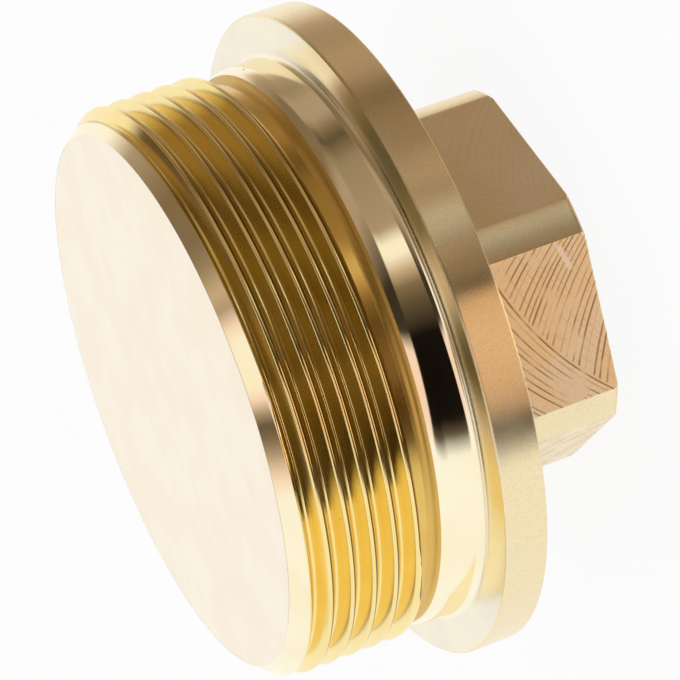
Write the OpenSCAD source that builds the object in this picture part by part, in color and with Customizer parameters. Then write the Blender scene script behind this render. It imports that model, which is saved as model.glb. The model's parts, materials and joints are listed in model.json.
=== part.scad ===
// Hex head screw plug with a collar and a parallel pipe thread, turned from one piece of brass.
// It stands on the end face of its head, with the thread pointing up along +Z. All lengths are in mm.

/* [Head] */
// Width across the flats of the hexagon
head_af = 36; // [26:0.5:44]
// Height of the head from its end face to the collar
head_h = 15.5; // [8:0.5:25]
// Amount that the turned outside of the head takes off each corner of the hexagon
corner_cut = 1; // [0.4:0.05:2]
// Radius of the round edge of the head's end face
head_edge = 0.3; // [0.1:0.05:0.8]

/* [Collar] */
// Outside diameter of the collar
collar_d = 67.6; // [64:0.1:90]
// Thickness of the collar
collar_h = 4.5; // [2:0.1:10]
// Break on both edges of the collar's rim
collar_edge = 0.25; // [0.1:0.05:0.8]

/* [Shank] */
// Length from the collar's sealing face to the end face of the thread
shank_h = 20; // [16:0.5:40]
// Length of the plain neck above the collar
neck_h = 3; // [1.5:0.1:5]
// Depth of the plain neck below the crests of the thread
neck_step = 0.4; // [0.2:0.05:0.6]
// Fillet where the neck meets the collar
neck_fillet = 0.8; // [0.2:0.05:1.2]

/* [Thread] */
// Diameter over the crests of the thread
thread_d = 59.614; // [54:0.001:60]
// Rise of the thread in one turn
thread_pitch = 2.309; // [2.1:0.001:2.4]
// Angle between a flank of the thread and a plane across the axis
flank_angle = 27.5; // [25:0.5:29]
// Radius of the shoulder that rounds the neck off into the relief below the thread
shoulder_r = 2.5; // [2:0.1:4]
// Radius that rounds the shoulder into the floor of the relief
relief_round = 1; // [0.5:0.1:1.5]
// Depth of the relief below the root of the thread
relief_drop = 0.05; // [0.02:0.01:0.3]
// Height above the neck at which the relief ends
relief_h = 3.65; // [3.2:0.05:4.2]
// Height above the neck at which the groove starts
groove_start = 2.84; // [2.2:0.01:3.4]
// Direction in which the groove starts, from the X axis
groove_dir = 230; // [0:1:359]
// Part of a turn over which the groove sinks to its full depth
groove_fade = 0.12; // [0.05:0.01:0.3]
// Angle of the chamfer at the thread's end, measured from the axis
entry_angle = 45; // [30:1:55]
// Drop of the end face's edge below the root of the thread
entry_drop = 0.57; // [0.2:0.01:1]

/* [Hidden] */
$fn = 96;
// Shares of the pitch in the 55 degree form: crest to root, sharp corner lost at the root, and root radius
depth_share = 0.640327;
corner_share = 0.160082;
root_round_share = 0.137329;
thread_depth = depth_share * thread_pitch;
root_round = root_round_share * thread_pitch;
thread_r = thread_d / 2;
root_r = thread_r - thread_depth;
neck_r = thread_r - neck_step;
relief_r = root_r - relief_drop;
collar_top = head_h + collar_h;
total_h = collar_top + shank_h;
neck_top = collar_top + neck_h;
// The two rounds of the shoulder touch on the line between their centres
shoulder_reach = shoulder_r + relief_round;
shoulder_drop = neck_r - relief_r;
shoulder_rise = sqrt(pow(shoulder_reach, 2) - pow(shoulder_reach - shoulder_drop, 2));
shoulder_mid = [neck_r - shoulder_r, neck_top];
relief_mid = [relief_r + relief_round, neck_top + shoulder_rise];
end_r = root_r - entry_drop;
entry_h = (thread_r - end_r) / tan(entry_angle);
head_d = head_af / cos(30) - 2 * corner_cut;
// Sections of the groove in one turn, and clear space of its cutter outside the shank
turn_steps = 60;
cut_clear = 0.2;
cut_r = thread_r + cut_clear;
round_turn = 90 - flank_angle;

// Half width of the groove at a radius, where its flanks are straight
function groove_half(r) = (r - root_r + corner_share * thread_pitch) * tan(flank_angle);

// Section of the groove as radius and height pairs, from the lower side to the upper one
groove_section = concat(
    [[cut_r, -groove_half(cut_r)]],
    [for (a = [-round_turn : round_turn / 2 : round_turn])
        [root_r + root_round * (1 - cos(a)), root_round * sin(a)]],
    [[cut_r, groove_half(cut_r)]]
);

// The groove climbs from its start in the relief to beyond the end face
groove_bottom = neck_top + groove_start;
groove_climb = total_h - groove_bottom + thread_pitch;
groove_steps = ceil(groove_climb / thread_pitch * turn_steps);
function groove_lift(i) = (thread_depth + cut_clear / 2) * max(0, 1 - i / (groove_fade * turn_steps));
function groove_point(i, p) =
    let (a = groove_dir + 360 * i / turn_steps, r = p[0] + groove_lift(i))
    [r * cos(a), r * sin(a), groove_bottom + thread_pitch * i / turn_steps + p[1]];

module thread_groove() {
    n = len(groove_section);
    last = groove_steps * n;
    polyhedron(
        points = [for (i = [0 : groove_steps], p = groove_section) groove_point(i, p)],
        faces = concat(
            [[for (k = [0 : n - 1]) k]],
            [for (i = [0 : groove_steps - 1], k = [0 : n - 1])
                [i * n + k, (i + 1) * n + k, (i + 1) * n + (k + 1) % n]],
            [for (i = [0 : groove_steps - 1], k = [0 : n - 1])
                [i * n + k, (i + 1) * n + (k + 1) % n, i * n + (k + 1) % n]],
            [[for (k = [n - 1 : -1 : 0]) last + k]]
        )
    );
}

// Half section of the shank: neck, relief with its round shoulder, thread blank and chamfered end
module shank_section() {
    relief_top = neck_top + relief_h;
    polygon([
        [0, head_h], [neck_r, head_h], [neck_r, neck_top], [relief_r, neck_top],
        [relief_r, relief_top], [thread_r, relief_top], [thread_r, total_h - entry_h],
        [end_r, total_h], [0, total_h]
    ]);
    translate(shoulder_mid)
        circle(shoulder_r);
    difference() {
        polygon([shoulder_mid, relief_mid, [relief_r, relief_mid[1]], [shoulder_mid[0], relief_mid[1]]]);
        translate(relief_mid)
            circle(relief_round);
    }
    difference() {
        translate([neck_r - neck_fillet, collar_top - neck_fillet])
            square(2 * neck_fillet);
        translate([neck_r + neck_fillet, collar_top + neck_fillet])
            circle(neck_fillet);
    }
}

// Half section of the collar with its two broken edges
module collar_section() {
    polygon([
        [0, head_h], [collar_d / 2 - collar_edge, head_h], [collar_d / 2, head_h + collar_edge],
        [collar_d / 2, collar_top - collar_edge], [collar_d / 2 - collar_edge, collar_top], [0, collar_top]
    ]);
}

// Half section of the turned head with its round edge
module head_section() {
    square([head_d / 2 - head_edge, collar_top]);
    translate([0, head_edge])
        square([head_d / 2, collar_top - head_edge]);
    translate([head_d / 2 - head_edge, head_edge])
        circle(head_edge);
}

// Turned head with six flats milled on it
module head() {
    intersection() {
        rotate_extrude() head_section();
        rotate(30)
            cylinder(r = head_af / 2 / cos(30), h = collar_top, $fn = 6);
    }
}

module plug_body() {
    color([0.80, 0.62, 0.30])
        difference() {
            union() {
                head();
                rotate_extrude() collar_section();
                rotate_extrude() shank_section();
            }
            thread_groove();
        }
}

plug_body();
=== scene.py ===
# Looks of the hex head plug: one detailed brass mesh, a pale floor, a soft studio and the camera.
import json
import math

import bpy
import numpy as np
from mathutils import Matrix, Vector


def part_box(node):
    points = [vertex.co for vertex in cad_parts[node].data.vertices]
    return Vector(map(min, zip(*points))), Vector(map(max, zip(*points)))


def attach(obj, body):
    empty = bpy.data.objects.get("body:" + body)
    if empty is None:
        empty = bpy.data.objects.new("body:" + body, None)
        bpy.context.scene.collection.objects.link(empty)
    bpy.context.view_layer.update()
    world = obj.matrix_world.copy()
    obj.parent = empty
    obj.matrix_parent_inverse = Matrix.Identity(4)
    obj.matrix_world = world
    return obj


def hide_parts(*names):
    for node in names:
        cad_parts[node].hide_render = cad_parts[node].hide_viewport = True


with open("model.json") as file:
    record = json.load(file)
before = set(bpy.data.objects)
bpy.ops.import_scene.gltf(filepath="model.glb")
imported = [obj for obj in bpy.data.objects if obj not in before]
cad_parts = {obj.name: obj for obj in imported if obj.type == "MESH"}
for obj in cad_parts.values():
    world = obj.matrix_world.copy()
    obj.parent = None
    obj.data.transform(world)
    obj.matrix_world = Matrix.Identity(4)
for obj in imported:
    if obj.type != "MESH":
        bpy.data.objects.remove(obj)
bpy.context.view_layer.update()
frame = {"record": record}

# Sizes in mm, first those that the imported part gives
MM = 0.001
FULL_TURN = 2 * math.pi
body_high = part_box("plug_body")[1]
mounts = {mount["name"]: mount for mount in frame["record"]["mounts"]}
TOTAL_H = body_high.z / MM
COLLAR_R = body_high.x / MM
COLLAR_TOP = mounts["seal_face"]["pos_m"][2] / MM
THREAD_R = mounts["thread"]["dims"]["r_mm"]
HEAD_APOTHEM = mounts["wrench_flat"]["pos_m"][0] / MM

# Sizes of the head and the collar, with the angle from the middle of a flat to its edge
FLATS = 6
FLAT_STEP = FULL_TURN / FLATS
HEAD_H = 15.5
CORNER_CUT = 1.0
HEAD_R = HEAD_APOTHEM / math.cos(FLAT_STEP / 2) - CORNER_CUT
FLAT_HALF = math.acos(HEAD_APOTHEM / HEAD_R)
HEAD_EDGE = 0.3
FLAT_EDGE = 0.12
COLLAR_EDGE = 0.25

# Sizes of the thread, with the shares of the pitch that the 55 degree form gives
PITCH = 2.309
FLANK = math.radians(27.5)
DEPTH_SHARE = 0.640327
ROUND_SHARE = 0.137329
DEPTH = DEPTH_SHARE * PITCH
THREAD_ROUND = ROUND_SHARE * PITCH
ROOT_R = THREAD_R - DEPTH

# Sizes of the shank, with heights measured from the collar
SHANK_H = TOTAL_H - COLLAR_TOP
NECK_H = 3.0
NECK_STEP = 0.4
NECK_R = THREAD_R - NECK_STEP
NECK_FILLET = 0.8
SHOULDER_R = 2.5
RELIEF_ROUND = 1.0
RELIEF_DROP = 0.05
RELIEF_R = ROOT_R - RELIEF_DROP
RELIEF_H = 3.65
RELIEF_TOP = NECK_H + RELIEF_H
ENTRY_ANGLE = math.radians(45)
ENTRY_DROP = 0.57
END_R = ROOT_R - ENTRY_DROP
END_EDGE = 0.15

# Groove: height of its start above the neck, direction, part of a turn over which it sinks, clear space, turns
GROOVE_RISE = 2.84
GROOVE_START = NECK_H + GROOVE_RISE
GROOVE_DIR = math.radians(230)
GROOVE_FADE = 0.12
GROOVE_CLEAR = 0.1
THREAD_TURNS = 8

# Rounding of the edges where the chamfer cuts the thread and where the flats cut the turned head
ENTRY_BLEND = 0.08
CORNER_BLEND = 0.06
# Lean of the shading where the fillet at the neck's foot starts, and at the edge of the thread's end face
FOOT_LEAN = math.radians(10)
END_LEAN = math.radians(30)

# Columns of the mesh: the number of even ones, and the close ones at each edge of a flat, in degrees from it
EVEN_COLUMNS = 400
EDGE_COLUMNS = (-0.3, -0.12, 0, 0.12, 0.3)
ANGLE_DIGITS = 7
# Rows of the mesh: distances from a groove's middle, first turn, heights on the head, steps of the arcs
GROOVE_ROWS = (0.09, 0.18, 0.28, 0.45, 0.66, 0.87, 0.95, 1.02, 1.09)
FIRST_TURN = -2
HEAD_ROWS = (HEAD_H, 12, 9, 6, 3, 1, 0.5, HEAD_EDGE, 0.24, 0.18, FLAT_EDGE, 0.06, 0)
HOLLOW_STEPS = 8
SHOULDER_STEPS = 16
FILLET_STEPS = 12
EDGE_STEPS = 6
# Steps of the shoulder with the hollow's finish, and steps of the fillet with the neck's
SHOULDER_IN_HOLLOW = 4
FILLET_IN_NECK = 6
# Distance in mm over which slopes are taken, and grid per mm on which points are welded
SLOPE_STEP = 0.004
WELD_GRID = 2000


def smooth_min(a, b, reach):
    """Smaller of two surfaces, with the edge between them rounded over a small reach."""
    share = np.clip(0.5 + 0.5 * (b - a) / reach, 0, 1)
    return b * (1 - share) + a * share - reach * share * (1 - share)


def thread_form(side):
    """Radius of the 55 degree form at a distance from the middle of a groove, round at root and crest."""
    tangent = THREAD_ROUND * math.cos(FLANK)
    straight = PITCH / 2 - 2 * tangent
    root = THREAD_ROUND - np.sqrt(THREAD_ROUND**2 - np.minimum(side, tangent)**2)
    flank = np.clip(side - tangent, 0, straight) / math.tan(FLANK)
    to_crest = np.clip(PITCH / 2 - side, 0, tangent)
    crest = np.sqrt(THREAD_ROUND**2 - to_crest**2) - THREAD_ROUND * math.sin(FLANK)
    return ROOT_R + root + flank + crest


def chamfer_radius(z):
    """Radius of the chamfer at the thread's end."""
    return END_R + (SHANK_H - z) * math.tan(ENTRY_ANGLE)


def thread_radius(angle, z):
    """Radius of the thread before its end is chamfered."""
    turn = np.mod(angle - GROOVE_DIR, FULL_TURN) / FULL_TURN
    climb = z - GROOVE_START - PITCH * turn
    wound = np.clip(np.round(climb / PITCH), 0, THREAD_TURNS)
    fade = (DEPTH + GROOVE_CLEAR) * np.maximum(0, 1 - (turn + wound) / GROOVE_FADE)
    return np.minimum(thread_form(np.abs(climb - PITCH * wound)) + fade, THREAD_R)


def shank_radius(angle, z):
    """Radius of the threaded shank at an angle round the axis and a height above the collar."""
    return smooth_min(chamfer_radius(z), thread_radius(angle, z), ENTRY_BLEND)


def head_radius(angle, z):
    """Radius of the head: the turned blank with its broken edge, cut by six flats."""
    from_flat = np.mod(angle + FLAT_STEP / 2, FLAT_STEP) - FLAT_STEP / 2
    flat = (HEAD_APOTHEM - np.maximum(FLAT_EDGE - z, 0)) / np.cos(from_flat)
    turned = HEAD_R - np.maximum(HEAD_EDGE - z, 0)
    return smooth_min(flat, turned, CORNER_BLEND)


def surface_normals(radius_of, angle, z):
    """Outward normals of a surface given as a radius over angle and height."""
    step = SLOPE_STEP
    swing = step / radius_of(angle, z)
    around = (radius_of(angle + swing, z) - radius_of(angle - swing, z)) / (2 * step)
    along = (radius_of(angle, z + step) - radius_of(angle, z - step)) / (2 * step)
    x = np.cos(angle) + np.sin(angle) * around
    y = np.sin(angle) - np.cos(angle) * around
    normal = np.stack([x, y, -along], -1)
    return normal / np.linalg.norm(normal, axis=-1, keepdims=True)


def column_angles():
    """Angles of the mesh's columns: even ones, and close ones at the edges of the flats."""
    even = np.linspace(0, FULL_TURN, EVEN_COLUMNS, endpoint=False)
    near = np.radians(EDGE_COLUMNS)
    middles = np.arange(FLATS) * FLAT_STEP
    edges = [middle + side * FLAT_HALF + near for middle in middles for side in (-1, 1)]
    angles = np.mod(np.concatenate([even] + edges) - GROOVE_DIR, FULL_TURN)
    return GROOVE_DIR + np.unique(np.round(angles, ANGLE_DIGITS))


class Shell:
    """Collects the zones of the plug's closed surface, then welds them into one mesh."""

    def __init__(self):
        self.points = []
        self.normals = []
        self.faces = []
        self.finishes = []
        self.count = 0

    def add(self, points, normals, faces, finish):
        """Add a zone of quads, without the points that none of them uses."""
        used, places = np.unique(np.array(faces), return_inverse=True)
        self.points.append(points.reshape(-1, 3)[used])
        self.normals.append(normals.reshape(-1, 3)[used])
        self.faces.extend((places.reshape(-1, 4) + self.count).tolist())
        self.finishes.extend([finish] * len(faces))
        self.count += len(used)

    def mesh(self, name, materials):
        """Mesh of all zones, with points welded, faces of no area left out and normals as given."""
        points = np.concatenate(self.points)
        normals = np.concatenate(self.normals)
        keys = np.round(points * WELD_GRID).astype(np.int64)
        _, first, same = np.unique(keys, axis=0, return_index=True, return_inverse=True)
        same = same.reshape(-1)
        welded = []
        corner_normals = []
        finishes = []
        for face, finish in zip(self.faces, self.finishes):
            corners = []
            for corner in face:
                if same[corner] not in [same[other] for other in corners]:
                    corners.append(corner)
            if len(corners) > 2:
                welded.append([int(same[corner]) for corner in corners])
                corner_normals.extend(normals[corners])
                finishes.append(finish)
        mesh = bpy.data.meshes.new(name)
        mesh.from_pydata((points[first] * MM).tolist(), [], welded)
        names = list(materials)
        for finish in names:
            mesh.materials.append(materials[finish])
        mesh.polygons.foreach_set("material_index", [names.index(finish) for finish in finishes])
        mesh.polygons.foreach_set("use_smooth", [True] * len(welded))
        mesh.normals_split_custom_set([Vector(normal) for normal in corner_normals])
        mesh.update()
        return mesh


def grid_faces(rows, columns):
    """Quads of a closed band of rows that run from the thread's end towards the head."""
    faces = []
    for row in range(rows - 1):
        for column in range(columns):
            after = (column + 1) % columns
            low = (row + 1) * columns
            high = row * columns
            faces.append([high + column, low + column, low + after, high + after])
    return faces


def ring(angles, across, up):
    """Vectors round the axis, each with the same height, and with one radius or a radius for each angle."""
    return np.stack([across * np.cos(angles), across * np.sin(angles), np.full_like(angles, up)], -1)


def add_turned(shell, angles, profile, finish):
    """Band turned round the axis, from rows of radius, height and the two parts of the normal."""
    points = [ring(angles, radius, height) for radius, height, _, _ in profile]
    normals = [ring(angles, across, up) for _, _, across, up in profile]
    shell.add(np.stack(points), np.stack(normals), grid_faces(len(profile), len(angles)), finish)


def add_facing_down(shell, rings, finish):
    """Flat band between rings, which faces down."""
    points = np.stack(rings)
    normals = np.broadcast_to([0.0, 0.0, -1.0], points.shape)
    shell.add(points, normals, grid_faces(len(rings), points.shape[1]), finish)


def arc_profile(centre_r, centre_z, radius, start, end, steps, side=1):
    """Rows of a round edge, with normals away from the centre or, with side -1 for a fillet, towards it."""
    rows = []
    for angle in np.linspace(start, end, steps + 1):
        across = math.cos(angle)
        up = math.sin(angle)
        rows.append((centre_r + radius * across, centre_z + radius * up, side * across, side * up))
    return rows


def thread_faces(angle, z, per_pitch):
    """Quads of the thread's grid by finish. Past the last column it goes on one pitch of rows higher."""
    rows, columns = z.shape
    chamfered = chamfer_radius(z) < thread_radius(angle, z)
    faces = {"thread": [], "neck": []}
    for row in range(rows - 1):
        for column in range(columns):
            after = (column + 1) % columns
            beside = row if after else row + per_pitch
            if beside + 1 >= rows:
                continue
            top = max(z[row + 1, column], z[beside + 1, after])
            if z[row, column] >= SHANK_H or top <= RELIEF_TOP:
                continue
            finish = "neck" if chamfered[row, column] and chamfered[row + 1, column] else "thread"
            faces[finish].append([row * columns + column, beside * columns + after,
                                  (beside + 1) * columns + after, (row + 1) * columns + column])
    return faces


def add_thread(shell, angles):
    """Threaded shank, with rows that follow the helix so that crests and roots stay crisp."""
    half = np.array(GROOVE_ROWS)
    offsets = np.concatenate([-half[::-1], [0], half, [PITCH / 2]])
    turn = (angles - GROOVE_DIR) / FULL_TURN
    starts = GROOVE_START + PITCH * np.arange(FIRST_TURN, THREAD_TURNS + 1)
    heights = (starts[:, None] + offsets[None, :]).reshape(-1)
    z = np.clip(heights[:, None] + PITCH * turn[None, :], RELIEF_TOP, SHANK_H)
    angle = np.broadcast_to(angles, z.shape)
    radius = shank_radius(angle, z)
    points = np.stack([radius * np.cos(angle), radius * np.sin(angle), COLLAR_TOP + z], -1)
    normals = surface_normals(shank_radius, angle, z)
    for finish, faces in thread_faces(angle, z, len(offsets)).items():
        shell.add(points, normals, faces, finish)
    outer = shank_radius(angles, np.full_like(angles, RELIEF_TOP))
    wall = [ring(angles, radius, COLLAR_TOP + RELIEF_TOP) for radius in (outer, RELIEF_R)]
    add_facing_down(shell, wall, "thread")


def leaned(row):
    """Row of the fillet at the neck's foot, with its shading leaned outwards where it starts."""
    radius, height, across, up = row
    lean = FOOT_LEAN + math.atan2(up, across) * (1 - 2 * FOOT_LEAN / math.pi)
    return radius, height, math.cos(lean), math.sin(lean)


def add_neck(shell, angles):
    """Relief below the thread, its round shoulder, the neck and the fillet down to the collar."""
    reach = SHOULDER_R + RELIEF_ROUND
    bend = math.acos(1 - (NECK_R - RELIEF_R) / reach)
    floor_low = NECK_H + reach * math.sin(bend)
    floor = [(RELIEF_R, COLLAR_TOP + height, 1, 0) for height in (RELIEF_TOP, floor_low)]
    hollow = arc_profile(RELIEF_R + RELIEF_ROUND, COLLAR_TOP + floor_low, RELIEF_ROUND,
                         math.pi, math.pi + bend, HOLLOW_STEPS, side=-1)
    shoulder = arc_profile(NECK_R - SHOULDER_R, COLLAR_TOP + NECK_H, SHOULDER_R, bend, 0, SHOULDER_STEPS)
    fillet = arc_profile(NECK_R + NECK_FILLET, COLLAR_TOP + NECK_FILLET, NECK_FILLET,
                         math.pi, 1.5 * math.pi, FILLET_STEPS, side=-1)
    fillet = [leaned(row) for row in fillet]
    add_turned(shell, angles, floor, "relief")
    add_turned(shell, angles, hollow + shoulder[:SHOULDER_IN_HOLLOW + 1], "hollow")
    add_turned(shell, angles, shoulder[SHOULDER_IN_HOLLOW:] + fillet[:FILLET_IN_NECK + 1], "neck")
    add_turned(shell, angles, fillet[FILLET_IN_NECK:], "face")


def add_collar(shell, angles):
    """Sealing face and rim of the collar."""
    edge_r = COLLAR_R - COLLAR_EDGE
    seal = [(radius, COLLAR_TOP, 0, 1) for radius in (NECK_R + NECK_FILLET, edge_r)]
    top_edge = arc_profile(edge_r, COLLAR_TOP - COLLAR_EDGE, COLLAR_EDGE, math.pi / 2, 0, EDGE_STEPS)
    low_edge = arc_profile(edge_r, HEAD_H + COLLAR_EDGE, COLLAR_EDGE, 0, -math.pi / 2, EDGE_STEPS)
    add_turned(shell, angles, seal, "face")
    add_turned(shell, angles, top_edge + low_edge, "rim")


def add_head(shell, angles):
    """Underside of the collar, and the head with its flats and corner strips down to its end face."""
    angle, z = np.meshgrid(angles, HEAD_ROWS)
    radius = head_radius(angle, z)
    points = np.stack([radius * np.cos(angle), radius * np.sin(angle), z], -1)
    normals = surface_normals(head_radius, angle, z)
    columns = len(angles)
    middles = angles + np.diff(angles, append=angles[0] + FULL_TURN) / 2
    from_flat = np.abs(np.mod(middles + FLAT_STEP / 2, FLAT_STEP) - FLAT_STEP / 2)
    faces = {"flat": [], "rim": []}
    for face in grid_faces(len(HEAD_ROWS), columns):
        finish = "flat" if from_flat[face[0] % columns] < FLAT_HALF else "rim"
        faces[finish].append(face)
    for finish, quads in faces.items():
        shell.add(points, normals, quads, finish)
    collar_edge = ring(angles, COLLAR_R - COLLAR_EDGE, HEAD_H)
    end_edge = points[-1]
    add_facing_down(shell, [collar_edge, points[0]], "face")
    add_facing_down(shell, [end_edge, 0.5 * end_edge, 0 * end_edge], "face")


def build_plug(materials):
    """The whole plug as one closed mesh, from the thread's end face down to the head."""
    shell = Shell()
    angles = column_angles()
    flat_end = [(radius, TOTAL_H, 0, 1) for radius in (0, END_R / 2, END_R - END_EDGE)]
    end_rim = (END_R, TOTAL_H, math.sin(END_LEAN), math.cos(END_LEAN))
    add_turned(shell, angles, flat_end + [end_rim], "end")
    add_thread(shell, angles)
    add_neck(shell, angles)
    add_collar(shell, angles)
    add_head(shell, angles)
    plug = bpy.data.objects.new("plug", shell.mesh("plug", materials))
    bpy.context.scene.collection.objects.link(plug)
    return plug


# Camera of the photo, fitted to the plug's edges
CAMERA_PLACE = Vector((290.534, -252.823, 143.196)) * MM
CAMERA_RIGHT = Vector((-0.006567, -0.441236, -0.897367))
CAMERA_UP = Vector((0.694965, 0.643234, -0.321364))
CAMERA_BACK = Vector((0.719014, -0.625749, 0.302419))
CAMERA_LENS = 213.2
CAMERA_SENSOR = 36
CAMERA_CLIP = 0.01
CAMERA_AZIMUTH = math.atan2(CAMERA_PLACE.y, CAMERA_PLACE.x)


def add_camera():
    """Camera at the photo's place and roll, for a square image."""
    data = bpy.data.cameras.new("camera")
    data.sensor_fit = "HORIZONTAL"
    data.sensor_width = CAMERA_SENSOR
    data.lens = CAMERA_LENS
    data.clip_start = CAMERA_CLIP
    camera = bpy.data.objects.new("camera", data)
    turn = Matrix((CAMERA_RIGHT, CAMERA_UP, CAMERA_BACK)).transposed().to_4x4()
    camera.matrix_world = Matrix.Translation(CAMERA_PLACE) @ turn
    bpy.context.scene.collection.objects.link(camera)
    bpy.context.scene.camera = camera


# Short helpers for node trees
def node(tree, kind, inputs=None, **settings):
    """New node with its settings, and inputs that are set to a value or linked to a socket."""
    made = tree.nodes.new(kind)
    for name, value in settings.items():
        setattr(made, name, value)
    for name, value in (inputs or {}).items():
        if isinstance(value, bpy.types.NodeSocket):
            tree.links.new(value, made.inputs[name])
        else:
            made.inputs[name].default_value = value
    return made


def calc(tree, operation, first, second=None, third=None):
    """Result of one math step on sockets or numbers."""
    values = {}
    for slot, value in enumerate((first, second, third)):
        if value is not None:
            values[slot] = value
    return node(tree, "ShaderNodeMath", values, operation=operation).outputs[0]


def ramp(tree, value, stops):
    """Colour that follows a value from 0 to 1 through given stops."""
    made = node(tree, "ShaderNodeValToRGB", {"Fac": value})
    elements = made.color_ramp.elements
    while len(elements) < len(stops):
        elements.new(1)
    for element, (place, colour) in zip(elements, stops):
        element.position = place
        element.color = (*colour, 1)
    return made.outputs["Color"]


def fit(tree, value, start, end, low, high):
    """Value between two limits, carried over in step to two others."""
    limits = {"Value": value, "From Min": start, "From Max": end, "To Min": low, "To Max": high}
    return node(tree, "ShaderNodeMapRange", limits).outputs[0]


def spread(tree, value, low, high):
    """Smooth step from 0 to 1 between two values."""
    limits = {"Value": value, "From Min": low, "From Max": high}
    return node(tree, "ShaderNodeMapRange", limits, interpolation_type="SMOOTHSTEP").outputs[0]


def mix(tree, share, first, second):
    """Mix of two colours by a share."""
    made = node(tree, "ShaderNodeMix", data_type="RGBA")
    for name, value in (("Factor_Float", share), ("A_Color", first), ("B_Color", second)):
        socket = next(entry for entry in made.inputs if entry.identifier == name)
        if isinstance(value, bpy.types.NodeSocket):
            tree.links.new(value, socket)
        else:
            socket.default_value = value if name == "Factor_Float" else (*value, 1)
    return next(entry for entry in made.outputs if entry.identifier == "Result_Color")


# Tones of the panels and flags of the studio that the metal mirrors
WHITE = (1.0, 1.0, 1.0)
CREAM = (1.0, 0.95, 0.88)
PINK = (0.95, 0.74, 0.68)
WARM = (1.8, 1.2, 0.8)
GLOW = (1.0, 0.94, 0.76)
HONEY = (0.9, 0.7, 0.3)
SAND = (0.6, 0.45, 0.34)
TAN = (0.42, 0.32, 0.24)
OLIVE = (0.31, 0.24, 0.16)
BROWN = (0.22, 0.155, 0.095)
EARTH = (0.17, 0.13, 0.05)
DARK = (0.11, 0.08, 0.05)
UMBER = (0.085, 0.065, 0.025)
SOOT = (0.04, 0.03, 0.02)
BLACK = (0.006, 0.004, 0.003)
# The studio's bands from the lowest to the highest, each by the turn from the camera in degrees
GROUND_BAND = (
    (-180, WHITE), (-63, WHITE), (-60, SOOT), (-47, SOOT), (-44, WARM), (-2, WARM), (1, DARK), (4, DARK),
    (7, TAN), (17, TAN), (20, SOOT), (28, SOOT), (31, TAN), (38, TAN), (40, DARK), (43, SAND), (54, SAND),
    (58, BROWN), (84, BROWN), (95, SAND), (138, SAND), (146, WHITE), (180, WHITE),
)
LOW_BAND = (
    (-180, WHITE), (-58, WHITE), (-49, DARK), (-43, BLACK), (-8, BLACK), (4, DARK), (11, BROWN), (17, SAND),
    (23, CREAM), (28, CREAM), (34, TAN), (66, OLIVE), (72, BROWN), (78, DARK), (84, BROWN), (92, TAN),
    (103, TAN), (114, OLIVE), (126, TAN), (133, SAND), (140, CREAM), (146, WHITE), (180, WHITE),
)
MID_BAND = (
    (-180, WHITE), (-57, WHITE), (-48, PINK), (-14, PINK), (-6, SOOT), (14, SOOT), (45, TAN), (60, TAN),
    (75, BROWN), (108, BROWN), (128, TAN), (140, CREAM), (146, WHITE), (180, WHITE),
)
HIGH_BAND = (
    (-180, DARK), (-162, DARK), (-148, CREAM), (-84, WHITE), (-74, PINK), (-62, TAN), (-54, BROWN),
    (-44, DARK), (-35, TAN), (-25, PINK), (-13, CREAM), (28, CREAM), (40, PINK), (52, TAN), (62, SAND),
    (76, OLIVE), (86, BROWN), (106, BROWN), (128, TAN), (140, DARK), (180, DARK),
)
# What the metal sees after a bounce between the collar and the neck
FOOT_BAND = (
    (-180, GLOW), (-115, GLOW), (-90, HONEY), (-75, HONEY), (-57, SAND), (-40, EARTH), (-30, UMBER),
    (-20, UMBER), (-12, EARTH), (-4, TAN), (4, SAND), (12, SAND), (22, TAN), (32, EARTH), (44, EARTH),
    (58, UMBER), (78, UMBER), (92, EARTH), (101, BROWN), (110, TAN), (120, CREAM), (180, WHITE),
)
# What the metal sees after a bounce between the thread's flanks
DEEP_BAND = (
    (-180, GLOW), (-65, GLOW), (-61, BLACK), (-52, BLACK), (-36, UMBER), (-14, EARTH), (-5, UMBER),
    (22, UMBER), (38, EARTH), (50, EARTH), (62, DARK), (76, DARK), (100, OLIVE), (122, OLIVE), (145, GLOW),
    (180, WHITE),
)
# Rise in degrees over which a band passes into the next one
GROUND_TO_LOW = (-28, -22)
LOW_TO_MID = (8, 15)
DEEP_TO_FOOT = (4, 12)
# The low band's upper edge falls by this share of the turn, up to a largest turn
LOW_SLANT = 0.3
SLANT_END = 30.0
# The high band's lower edge sinks from one rise to another between two turns, and is soft on both sides
HIGH_TURNS = (60.0, 140.0)
HIGH_RISES = (62.0, 30.0)
HIGH_SOFT = 4
# Glossy depth above which a ray has met the metal more than once
ONE_BOUNCE = 1.5


def band_colour(tree, turn, stops):
    """Colour of a band over the turn from the camera, in degrees from -180 to 180."""
    share = calc(tree, "MULTIPLY_ADD", turn, 1 / 360, 0.5)
    return ramp(tree, share, [((degrees + 180) / 360, colour) for degrees, colour in stops])


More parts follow.
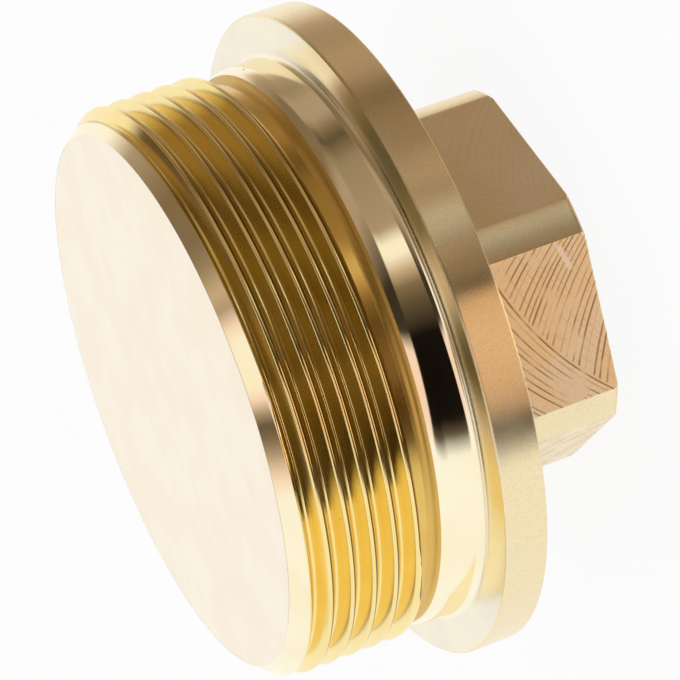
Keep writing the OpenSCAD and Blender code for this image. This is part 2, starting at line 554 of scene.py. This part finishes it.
def add_world():
    """Soft white light, and for the metal a studio with bright panels and dark flags."""
    world = bpy.data.worlds.new("studio")
    bpy.context.scene.world = world
    world.use_nodes = True
    tree = world.node_tree
    tree.nodes.clear()
    direction = node(tree, "ShaderNodeTexCoord").outputs["Generated"]
    turned = node(tree, "ShaderNodeVectorRotate", {"Vector": direction, "Angle": -CAMERA_AZIMUTH},
                  rotation_type="Z_AXIS").outputs[0]
    parts = node(tree, "ShaderNodeSeparateXYZ", {"Vector": turned}).outputs
    turn = calc(tree, "DEGREES", calc(tree, "ARCTAN2", parts["Y"], parts["X"]))
    rise = calc(tree, "DEGREES", calc(tree, "ARCSINE", parts["Z"]))
    bands = (GROUND_BAND, LOW_BAND, MID_BAND, HIGH_BAND, DEEP_BAND, FOOT_BAND)
    ground, low, mid, high, deep, foot = [band_colour(tree, turn, stops) for stops in bands]
    path = node(tree, "ShaderNodeLightPath").outputs
    later = calc(tree, "GREATER_THAN", path["Glossy Depth"], ONE_BOUNCE)
    slanted = calc(tree, "MULTIPLY_ADD", calc(tree, "MINIMUM", turn, SLANT_END), LOW_SLANT, rise)
    first_colour = mix(tree, spread(tree, rise, *GROUND_TO_LOW), ground, low)
    first_colour = mix(tree, spread(tree, slanted, *LOW_TO_MID), first_colour, mid)
    later_colour = mix(tree, spread(tree, rise, *DEEP_TO_FOOT), deep, foot)
    colour = mix(tree, later, first_colour, later_colour)
    high_edge = fit(tree, calc(tree, "ABSOLUTE", turn), *HIGH_TURNS, *HIGH_RISES)
    above_edge = calc(tree, "SUBTRACT", rise, high_edge)
    colour = mix(tree, spread(tree, above_edge, -HIGH_SOFT, HIGH_SOFT), colour, high)
    colour = mix(tree, path["Is Glossy Ray"], WHITE, colour)
    shader = node(tree, "ShaderNodeBackground", {"Color": colour, "Strength": 1.0})
    node(tree, "ShaderNodeOutputWorld", {"Surface": shader.outputs[0]})


# Half width of the floor in metres, scale of its grain, and its two tones
FLOOR_HALF = 4
FLOOR_GRAIN = 40.0
FLOOR_TONES = ((0.97, 0.97, 0.97), (0.99, 0.99, 0.99))
# Share of the floor's plain white, so that only a soft shadow is left
FLOOR_PLAIN = 0.93


def add_floor():
    """Large pale floor under the head. The metal mirrors the studio's ground in its place."""
    corners = [(x * FLOOR_HALF, y * FLOOR_HALF, 0) for x, y in ((-1, -1), (1, -1), (1, 1), (-1, 1))]
    mesh = bpy.data.meshes.new("floor")
    mesh.from_pydata(corners, [], [[0, 1, 2, 3]])
    material = bpy.data.materials.new("pale_floor")
    material.use_nodes = True
    tree = material.node_tree
    tree.nodes.clear()
    place = node(tree, "ShaderNodeTexCoord").outputs["Object"]
    settings = {"Vector": place, "Scale": FLOOR_GRAIN, "Detail": 3.0}
    grain = node(tree, "ShaderNodeTexNoise", settings).outputs[0]
    colour = ramp(tree, grain, list(enumerate(FLOOR_TONES)))
    lit = node(tree, "ShaderNodeBsdfDiffuse", {"Color": colour})
    plain = node(tree, "ShaderNodeEmission", {"Color": colour, "Strength": 1.0})
    seen = node(tree, "ShaderNodeLightPath").outputs["Is Camera Ray"]
    share = calc(tree, "MULTIPLY", seen, FLOOR_PLAIN)
    shader = node(tree, "ShaderNodeMixShader", {0: share, 1: lit.outputs[0], 2: plain.outputs[0]})
    node(tree, "ShaderNodeOutputMaterial", {"Surface": shader.outputs[0]})
    mesh.materials.append(material)
    floor = bpy.data.objects.new("floor", mesh)
    floor.visible_glossy = False
    bpy.context.scene.collection.objects.link(floor)


# Light and deep tone of the brass on each surface
END_TONES = ((1.0, 0.9, 0.74), (0.95, 0.83, 0.64))
THREAD_TONES = ((0.98, 0.79, 0.34), (0.95, 0.75, 0.3))
# The relief and the hollow take a darker brass, which paints the shade of the recess below the thread
RELIEF_SHADED_TONES = ((0.8, 0.54, 0.15), (0.74, 0.48, 0.12))
NECK_TONES = ((0.99, 0.91, 0.67), (0.97, 0.87, 0.6))
FACE_TONES = ((0.99, 0.92, 0.76), (0.98, 0.9, 0.7))
RIM_TONES = ((0.98, 0.85, 0.56), (0.96, 0.81, 0.5))
FLAT_TONES = ((0.99, 0.87, 0.66), (0.96, 0.81, 0.52))
# Tones of the grain, of dirt in the pits and of the painted shade under the thread's crests, of the mill's
# marks and of the nick
GRAIN_TONE = (0.6, 0.44, 0.24)
DIRT_AND_SHADE_TONE = (0.16, 0.09, 0.03)
MARK_TONE = (0.45, 0.27, 0.1)
NICK_TONE = (1.0, 0.93, 0.8)

# Stains: scale, limits of the noise for the gloss and for the colour, and share by which the gloss varies
STAIN_SCALE = 160.0
STAIN_GLOSS = (0.3, 0.7)
STAIN_COLOUR = (0.35, 0.7)
STAIN_SHARE = 0.15
# Part of a turn by which the uneven gloss is rotated, so that it is rough along the axis and sharp around it
GLOSS_TURN = 0.25
# Turning lines per mm, size of the grain in mm, and limits of the noise for the grain's colour
LINES_PER_MM = 9.0
GRAIN_SIZE = 0.2
GRAIN_COLOUR = (0.4, 0.7)
# Painted shade, a dark line on the lower side of each crest where it faces down: limits of the slope, and of
# the depth below the crest in mm
CREST_SHADE_SLOPE = (-0.35, -0.1)
CREST_SHADE_DEPTH = (0.4, 0.25)

# Pits and specks: direction in degrees, height above the collar, radius and size in mm
NECK_FLAWS = ((-70.5, 4.65, 28.77, 0.22), (33.0, 3.5, 29.36, 0.16))
THREAD_FLAWS = (
    (-73.2, 15.5, 29.2, 0.16), (-73.6, 14.7, 29.2, 0.12), (-87.0, 7.0, 29.7, 0.14), (-91.0, 7.05, 29.7, 0.12),
    (-95.5, 7.0, 29.7, 0.14), (33.0, 7.6, 29.7, 0.14),
)
# Depth of a flaw in metres, and share of its size that is fully dark
FLAW_DEPTH = 6e-5
FLAW_CORE = 0.4


def flaw_mask(tree, place, flaws):
    """1 inside the given pits and specks, and 0 elsewhere."""
    mask = 0.0
    for direction, height, radius, size in flaws:
        angle = math.radians(direction)
        middle = (radius * math.cos(angle) * MM, radius * math.sin(angle) * MM, (COLLAR_TOP + height) * MM)
        gap = node(tree, "ShaderNodeVectorMath", {0: place, 1: middle}, operation="DISTANCE").outputs["Value"]
        spot = calc(tree, "SUBTRACT", 1.0, spread(tree, gap, FLAW_CORE * size * MM, size * MM))
        mask = calc(tree, "MAXIMUM", mask, spot)
    return mask


class Brass:
    """Bare brass with soft stains in its colour and gloss. Marks of the tool are added to it."""

    def __init__(self, name, tones, roughness, anisotropy=0.0):
        self.material = bpy.data.materials.new(name)
        self.material.use_nodes = True
        self.tree = self.material.node_tree
        self.tree.nodes.clear()
        self.place = node(self.tree, "ShaderNodeTexCoord").outputs["Object"]
        self.parts = node(self.tree, "ShaderNodeSeparateXYZ", {"Vector": self.place}).outputs
        self.height = 0.0
        stain = self.noise(STAIN_SCALE, 4.0)
        glossy = roughness * (1 - STAIN_SHARE)
        matt = roughness * (1 + STAIN_SHARE)
        rough = fit(self.tree, stain, *STAIN_GLOSS, glossy, matt)
        light, deep = tones
        self.colour = mix(self.tree, spread(self.tree, stain, *STAIN_COLOUR), deep, light)
        self.shader = node(self.tree, "ShaderNodeBsdfPrincipled", {
            "Metallic": 1.0, "Roughness": rough, "Anisotropic": anisotropy,
        })
        if anisotropy:
            tangent = node(self.tree, "ShaderNodeTangent", direction_type="RADIAL", axis="Z").outputs[0]
            self.tree.links.new(tangent, self.shader.inputs["Tangent"])
            self.shader.inputs["Anisotropic Rotation"].default_value = GLOSS_TURN

    def noise(self, scale, detail):
        """Noise in space."""
        settings = {"Vector": self.place, "Scale": scale, "Detail": detail}
        return node(self.tree, "ShaderNodeTexNoise", settings).outputs[0]

    def line_noise(self, place, scale, detail):
        """Noise along one value."""
        settings = {"W": place, "Scale": scale, "Detail": detail}
        return node(self.tree, "ShaderNodeTexNoise", settings, noise_dimensions="1D").outputs[0]

    def radius(self):
        """Distance from the axis."""
        squares = [calc(self.tree, "POWER", self.parts[axis], 2.0) for axis in "XY"]
        return calc(self.tree, "SQRT", calc(self.tree, "ADD", *squares))

    def cover(self, mask, tone):
        """Lay a tone over the brass where a mask says so."""
        self.colour = mix(self.tree, mask, self.colour, tone)

    def raise_by(self, amount, height):
        """Add to the relief of the surface, with its height in metres."""
        self.height = calc(self.tree, "MULTIPLY_ADD", amount, height, self.height)

    def turned_lines(self, along, depth):
        """Fine lines of a turning tool along the axis or out from it."""
        place = self.parts["Z"] if along == "height" else self.radius()
        lines = self.line_noise(calc(self.tree, "DIVIDE", place, MM), LINES_PER_MM, 3.0)
        self.raise_by(lines, depth)

    def grain(self, depth, tint):
        """Fine grain all over the surface, in its relief and if asked in its colour."""
        specks = self.noise(1 / (GRAIN_SIZE * MM), 2.0)
        self.raise_by(specks, depth)
        if tint:
            share = calc(self.tree, "MULTIPLY", spread(self.tree, specks, *GRAIN_COLOUR), tint)
            self.cover(share, GRAIN_TONE)

    def paint_crest_shade(self):
        """Painted shade: a thin dark line along the lower side of each crest of the thread, where its slope
        faces down.
        """
        normal = node(self.tree, "ShaderNodeNewGeometry").outputs["True Normal"]
        down = node(self.tree, "ShaderNodeSeparateXYZ", {"Vector": normal}).outputs["Z"]
        lower = calc(self.tree, "SUBTRACT", 1.0, spread(self.tree, down, *CREST_SHADE_SLOPE))
        limits = [(THREAD_R - depth) * MM for depth in CREST_SHADE_DEPTH]
        crest = spread(self.tree, self.radius(), *limits)
        self.cover(calc(self.tree, "MULTIPLY", lower, crest), DIRT_AND_SHADE_TONE)

    def flaws(self, spots):
        """Dark pits and specks."""
        mask = flaw_mask(self.tree, self.place, spots)
        self.cover(mask, DIRT_AND_SHADE_TONE)
        self.raise_by(mask, -FLAW_DEPTH)

    def done(self):
        """The finished material."""
        self.tree.links.new(self.colour, self.shader.inputs["Base Color"])
        bump = node(self.tree, "ShaderNodeBump", {"Height": self.height, "Strength": 1.0, "Distance": 1.0})
        self.tree.links.new(bump.outputs[0], self.shader.inputs["Normal"])
        node(self.tree, "ShaderNodeOutputMaterial", {"Surface": self.shader.outputs[0]})
        return self.material


# Slope of the shading of the flats and the rim, which turns what they mirror towards the ground
FLAT_LEAN = 0.07
RIM_LEAN = 0.03
# Roughness of the flats, depth of their grain in metres and strength of its colour
FLAT_ROUGH = 0.42
FLAT_GRAIN = 2e-6
FLAT_TINT = 0.2
# Radius of the face mill and offset of its centre from the middle of a flat, in mm
MILL_R = 35.0
MILL_OFFSET = 18.0
# Path of the mill's edge that parts the two sets of arcs, half its soft width, and spacing of the arcs, in mm
MILL_EDGE = -23.0
MILL_EDGE_SOFT = 0.1
MILL_SPACING = 0.85
# Width of a mark as a share of the spacing, and the part of it that is fully dark
MARK_WIDTH = 0.2
MARK_FULL = 0.3
# Depth of a mark in metres, and the share of the upper marks that is left past the mill's edge
MARK_DEPTH = 8e-6
MARK_LEFT = 0.15
# Marks come and go from arc to arc and from patch to patch: limits of the noise, and its two scales
MARK_LIMITS = (0.3, 0.6)
MARK_SCALE = 0.9
PATCH_LIMITS = (0.3, 0.55)
PATCH_SCALE = 350.0
# Start of the pattern, and its shift from flat to flat and from one set of arcs to the other
PATTERN_START = 40.0
FLAT_SHIFT = 7.3
SIDE_SHIFT = 11.0
# Limits of the flat's number between which the marks grow to their full strength
STRONG_LIMITS = (-0.25, 1.0)
# Nick in one flat: number of the flat, and place across and up in mm
NICK_FLAT = -1.0
NICK_ACROSS = 6.5
NICK_UP = 2.7
# Half length and half width of the nick, each where it ends and where it is full, in mm, and its slope
NICK_LENGTH = (1.7, 1.02)
NICK_WIDTH = (0.4, 0.2)
NICK_SLOPE = 0.3


def mill_path(tree, across, up, side):
    """Height at which an arc through a point crosses the mill's middle, the same all along one mark."""
    offset = calc(tree, "SUBTRACT", across, side * MILL_OFFSET)
    square = calc(tree, "SUBTRACT", MILL_R**2, calc(tree, "POWER", offset, 2.0))
    return calc(tree, "SUBTRACT", up, calc(tree, "SQRT", square))


def mill_lines(finish, path, number, side):
    """Marks of uneven strength across the path of the mill."""
    tree = finish.tree
    start = calc(tree, "MULTIPLY_ADD", number, FLAT_SHIFT, PATTERN_START + SIDE_SHIFT * side)
    along = calc(tree, "ADD", calc(tree, "DIVIDE", path, MILL_SPACING), start)
    edge = node(tree, "ShaderNodeTexVoronoi", {"W": along, "Scale": 1.0}, voronoi_dimensions="1D",
                feature="DISTANCE_TO_EDGE").outputs["Distance"]
    thin = calc(tree, "SUBTRACT", 1.0, spread(tree, edge, MARK_FULL * MARK_WIDTH, MARK_WIDTH))
    strength = spread(tree, finish.line_noise(along, MARK_SCALE, 1.0), *MARK_LIMITS)
    patches = spread(tree, finish.noise(PATCH_SCALE, 1.0), *PATCH_LIMITS)
    return calc(tree, "MULTIPLY", thin, calc(tree, "MULTIPLY", strength, patches))


def nick_mask(tree, across, up, number):
    """1 inside the nick, and 0 elsewhere."""
    along = calc(tree, "SUBTRACT", across, NICK_ACROSS)
    level = calc(tree, "MULTIPLY_ADD", along, NICK_SLOPE, NICK_UP)
    beside = calc(tree, "SUBTRACT", up, level)
    length = spread(tree, calc(tree, "ABSOLUTE", along), *NICK_LENGTH)
    width = spread(tree, calc(tree, "ABSOLUTE", beside), *NICK_WIDTH)
    here = calc(tree, "COMPARE", number, NICK_FLAT, 0.5)
    return calc(tree, "MULTIPLY", calc(tree, "MULTIPLY", length, width), here)


def milled_flat():
    """Finish of the six flats, with the crossing arcs of a face mill. The flat towards +X is the finest."""
    finish = Brass("brass_milled_flat", FLAT_TONES, FLAT_ROUGH)
    tree = finish.tree
    angle = calc(tree, "ARCTAN2", finish.parts["Y"], finish.parts["X"])
    number = calc(tree, "ROUND", calc(tree, "DIVIDE", angle, FLAT_STEP))
    from_flat = calc(tree, "SUBTRACT", angle, calc(tree, "MULTIPLY", number, FLAT_STEP))
    sideways = calc(tree, "MULTIPLY", finish.radius(), calc(tree, "SINE", from_flat))
    across = calc(tree, "DIVIDE", sideways, MM)
    up = calc(tree, "DIVIDE", finish.parts["Z"], MM)
    rising = mill_path(tree, across, up, 1)
    falling = mill_path(tree, across, up, -1)
    parted = spread(tree, rising, MILL_EDGE - MILL_EDGE_SOFT, MILL_EDGE + MILL_EDGE_SOFT)
    upper_share = calc(tree, "MAXIMUM", parted, MARK_LEFT)
    lower_share = calc(tree, "SUBTRACT", 1.0, parted)
    upper = calc(tree, "MULTIPLY", mill_lines(finish, rising, number, 1), upper_share)
    lower = calc(tree, "MULTIPLY", mill_lines(finish, falling, number, -1), lower_share)
    strong = spread(tree, calc(tree, "ABSOLUTE", number), *STRONG_LIMITS)
    marks = calc(tree, "MULTIPLY", calc(tree, "MAXIMUM", upper, lower), strong)
    finish.cover(marks, MARK_TONE)
    finish.raise_by(marks, -MARK_DEPTH)
    finish.raise_by(finish.parts["Z"], FLAT_LEAN)
    finish.grain(FLAT_GRAIN, FLAT_TINT)
    finish.cover(nick_mask(tree, across, up, number), NICK_TONE)
    return finish.done()


def turned_finish(name, tones, roughness, along, depth, anisotropy=0.0, tint=0.0, lean=0.0, flaws=None,
                  crests=False):
    """Finish of a turned surface, with grain and with fine lines along the axis or out from it."""
    finish = Brass(name, tones, roughness, anisotropy)
    finish.turned_lines(along, depth)
    finish.grain(depth, tint)
    if lean:
        finish.raise_by(finish.parts["Z"], lean)
    # Crests get a dark line of painted shade on their lower side
    if crests:
        finish.paint_crest_shade()
    if flaws:
        finish.flaws(flaws)
    return finish.done()


finishes = {
    "end": turned_finish("brass_end_face", END_TONES, 0.2, "radius", 5e-7),
    # The thread carries a dark line of painted shade on the lower side of each crest
    "thread": turned_finish("brass_thread", THREAD_TONES, 0.15, "height", 3e-7, anisotropy=0.9,
                            flaws=THREAD_FLAWS, crests=True),
    # The relief and the hollow get the darker brass that paints the shade of the recess
    "relief": turned_finish("brass_relief_painted_shade", RELIEF_SHADED_TONES, 0.22, "height", 5e-7),
    "hollow": turned_finish("brass_hollow_painted_shade", RELIEF_SHADED_TONES, 0.4, "height", 1e-6),
    "neck": turned_finish("brass_neck", NECK_TONES, 0.08, "height", 3e-7, flaws=NECK_FLAWS),
    "face": turned_finish("brass_turned_face", FACE_TONES, 0.25, "radius", 1e-6),
    "rim": turned_finish("brass_rim", RIM_TONES, 0.3, "height", 2e-6, anisotropy=1.0, tint=0.22,
                         lean=RIM_LEAN),
    "flat": milled_flat(),
}

plug = build_plug(finishes)
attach(plug, "root")
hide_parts("plug_body")
add_floor()
add_world()
add_camera()
bpy.context.scene.view_settings.view_transform = "Standard"
